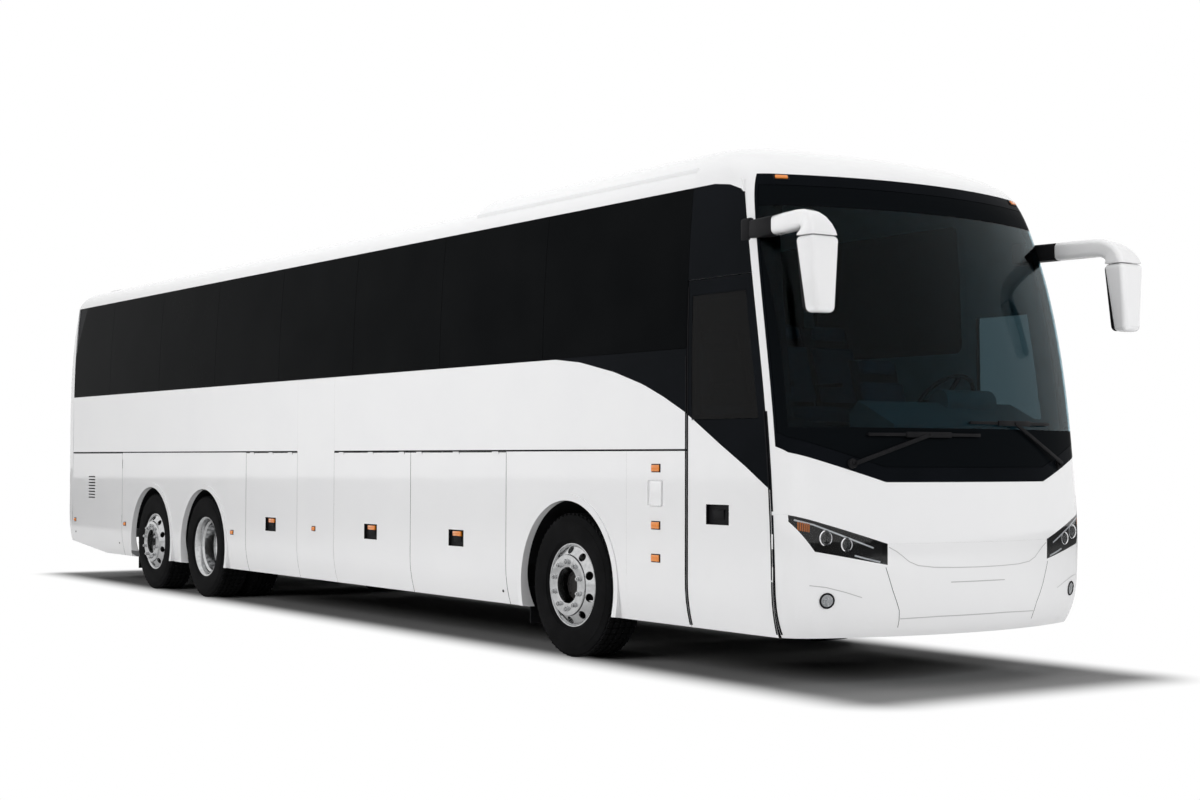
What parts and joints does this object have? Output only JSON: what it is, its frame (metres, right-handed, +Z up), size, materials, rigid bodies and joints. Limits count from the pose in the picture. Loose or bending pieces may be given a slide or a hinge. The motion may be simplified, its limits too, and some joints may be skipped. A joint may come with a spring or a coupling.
{
  "type": "coach bus",
  "caption": "A white three-axle coach bus with a black glass band, dark windscreen, polished wheels, entrance door, luggage doors and a cabin with seats.",
  "frame": {"origin": "centre of the footprint on the ground", "axes": "+X forward, +Y to the bus's left, +Z up"},
  "size_m": [13.9039, 2.915, 3.5561],
  "materials": {
    "body_paint": "gloss white paint",
    "black_glass": "dark tinted glass",
    "black_trim": "gloss black",
    "black_plastic": "matt black",
    "frame_steel": "black chassis paint",
    "wheel_alloy": "polished",
    "tyre_rubber": "matt rubber",
    "rubber": "matt rubber",
    "lamp_clear": "clear lens",
    "lamp_amber": "amber lens",
    "lamp_red": "red lens",
    "engine_iron": "bare casting",
    "seat_cloth": "woven cloth"
  },
  "bodies": {
    "body": {"bay_tray": "frame_steel", "front_frame": "frame_steel", "rear_frame": "frame_steel", "wheel_liners": "black_plastic", "cabin_floor": "black_plastic", "driver_platform": "black_plastic", "entrance_steps": "black_plastic", "roof_shell": "body_paint", "roof_fairing": "body_paint", "front_roof_cap": "body_paint", "side_wall_right": "body_paint", "side_wall_left": "body_paint", "body_glass": "black_glass", "windscreen_frame": "black_trim", "windscreen": "black_glass", "nose_panel": "body_paint", "bumper": "body_paint", "headlamps": "lamp_clear", "marker_lamps": "lamp_amber", "rear_cap": "body_paint", "tail_lamps": "lamp_red", "engine": "engine_iron", "front_axle": "frame_steel", "drive_axle": "frame_steel", "tag_axle": "frame_steel", "air_springs": "rubber", "dashboard": "black_plastic", "seats": "seat_cloth", "mirrors": "body_paint", "wipers": "black_trim", "mud_flaps": "rubber"},
    "steering": {"steering_wheel": "black_plastic"},
    "entrance_door": {"entrance_door": "body_paint", "entrance_door_glass": "black_glass"},
    "rear_engine_door": {"rear_engine_door": "body_paint"},
    "luggage_door_front_right": {"luggage_door_front_right": "body_paint"},
    "luggage_door_middle_right": {"luggage_door_middle_right": "body_paint"},
    "luggage_door_rear_right": {"luggage_door_rear_right": "body_paint"},
    "engine_side_door_right": {"engine_side_door_right": "body_paint"},
    "knuckle_right": {"knuckle_right": "frame_steel"},
    "front_wheel_right": {"front_rim_right": "wheel_alloy", "front_tyre_right": "tyre_rubber"},
    "drive_wheels_right": {"drive_rims_right": "wheel_alloy", "drive_tyres_right": "tyre_rubber"},
    "tag_wheel_right": {"tag_rim_right": "wheel_alloy", "tag_tyre_right": "tyre_rubber"},
    "luggage_door_front_left": {"luggage_door_front_left": "body_paint"},
    "luggage_door_middle_left": {"luggage_door_middle_left": "body_paint"},
    "luggage_door_rear_left": {"luggage_door_rear_left": "body_paint"},
    "engine_side_door_left": {"engine_side_door_left": "body_paint"},
    "knuckle_left": {"knuckle_left": "frame_steel"},
    "front_wheel_left": {"front_rim_left": "wheel_alloy", "front_tyre_left": "tyre_rubber"},
    "drive_wheels_left": {"drive_rims_left": "wheel_alloy", "drive_tyres_left": "tyre_rubber"},
    "tag_wheel_left": {"tag_rim_left": "wheel_alloy", "tag_tyre_left": "tyre_rubber"}
  },
  "joints": [
    {"name": "luggage_door_front_right_hinge", "type": "hinge", "parent": "body", "child": "luggage_door_front_right", "pos_m": [2.52334, -1.298, 1.455], "axis": [-1, 0, 0], "range_deg": [0, 90]},
    {"name": "luggage_door_middle_right_hinge", "type": "hinge", "parent": "body", "child": "luggage_door_middle_right", "pos_m": [1.07006, -1.298, 1.455], "axis": [-1, 0, 0], "range_deg": [0, 90]},
    {"name": "luggage_door_rear_right_hinge", "type": "hinge", "parent": "body", "child": "luggage_door_rear_right", "pos_m": [-0.96641, -1.298, 1.455], "axis": [-1, 0, 0], "range_deg": [0, 90]},
    {"name": "engine_side_door_right_hinge", "type": "hinge", "parent": "body", "child": "engine_side_door_right", "pos_m": [-4.9595, -1.298, 0.9], "axis": [0, 0, 1], "range_deg": [0, 90]},
    {"name": "knuckle_right_pivot", "type": "hinge", "parent": "body", "child": "knuckle_right", "pos_m": [4.1025, -0.985, 0.51005], "axis": [0, 0, 1], "range_deg": [-40, 40]},
    {"name": "front_wheel_right_spin", "type": "hinge", "parent": "knuckle_right", "child": "front_wheel_right", "pos_m": [4.1025, -1.117, 0.51005], "axis": [0, 1, 0], "continuous": true},
    {"name": "drive_wheels_right_spin", "type": "hinge", "parent": "body", "child": "drive_wheels_right", "pos_m": [-2.6475, -1.117, 0.51005], "axis": [0, 1, 0], "continuous": true},
    {"name": "tag_wheel_right_spin", "type": "hinge", "parent": "body", "child": "tag_wheel_right", "pos_m": [-4.0595, -1.117, 0.51005], "axis": [0, 1, 0], "continuous": true},
    {"name": "luggage_door_front_left_hinge", "type": "hinge", "parent": "body", "child": "luggage_door_front_left", "pos_m": [2.52334, 1.298, 1.455], "axis": [1, 0, 0], "range_deg": [0, 90]},
    {"name": "luggage_door_middle_left_hinge", "type": "hinge", "parent": "body", "child": "luggage_door_middle_left", "pos_m": [1.07006, 1.298, 1.455], "axis": [1, 0, 0], "range_deg": [0, 90]},
    {"name": "luggage_door_rear_left_hinge", "type": "hinge", "parent": "body", "child": "luggage_door_rear_left", "pos_m": [-0.96641, 1.298, 1.455], "axis": [1, 0, 0], "range_deg": [0, 90]},
    {"name": "engine_side_door_left_hinge", "type": "hinge", "parent": "body", "child": "engine_side_door_left", "pos_m": [-4.9595, 1.298, 0.9], "axis": [0, 0, -1], "range_deg": [0, 90]},
    {"name": "knuckle_left_pivot", "type": "hinge", "parent": "body", "child": "knuckle_left", "pos_m": [4.1025, 0.985, 0.51005], "axis": [0, 0, 1], "range_deg": [-40, 40]},
    {"name": "front_wheel_left_spin", "type": "hinge", "parent": "knuckle_left", "child": "front_wheel_left", "pos_m": [4.1025, 1.117, 0.51005], "axis": [0, 1, 0], "continuous": true},
    {"name": "drive_wheels_left_spin", "type": "hinge", "parent": "body", "child": "drive_wheels_left", "pos_m": [-2.6475, 1.117, 0.51005], "axis": [0, 1, 0], "continuous": true},
    {"name": "tag_wheel_left_spin", "type": "hinge", "parent": "body", "child": "tag_wheel_left", "pos_m": [-4.0595, 1.117, 0.51005], "axis": [0, 1, 0], "continuous": true},
    {"name": "steering_wheel_turn", "type": "hinge", "parent": "body", "child": "steering", "pos_m": [5.9125, 0.62, 1.8], "axis": [-0.766, 0, 0.6428], "range_deg": [-810, 810]},
    {"name": "entrance_door_hinge", "type": "hinge", "parent": "body", "child": "entrance_door", "pos_m": [6.3995, -1.2978, 0.76], "axis": [0, 0, 1], "range_deg": [0, 85]},
    {"name": "rear_engine_door_hinge", "type": "hinge", "parent": "body", "child": "rear_engine_door", "pos_m": [-6.9525, 0, 1.623], "axis": [0, 1, 0], "range_deg": [0, 80]}
  ],
  "couplings": [
    {"joint": "knuckle_right_pivot", "follows": "knuckle_left_pivot", "ratio": 1},
    {"joint": "steering_wheel_turn", "follows": "knuckle_left_pivot", "ratio": 20}
  ]
}
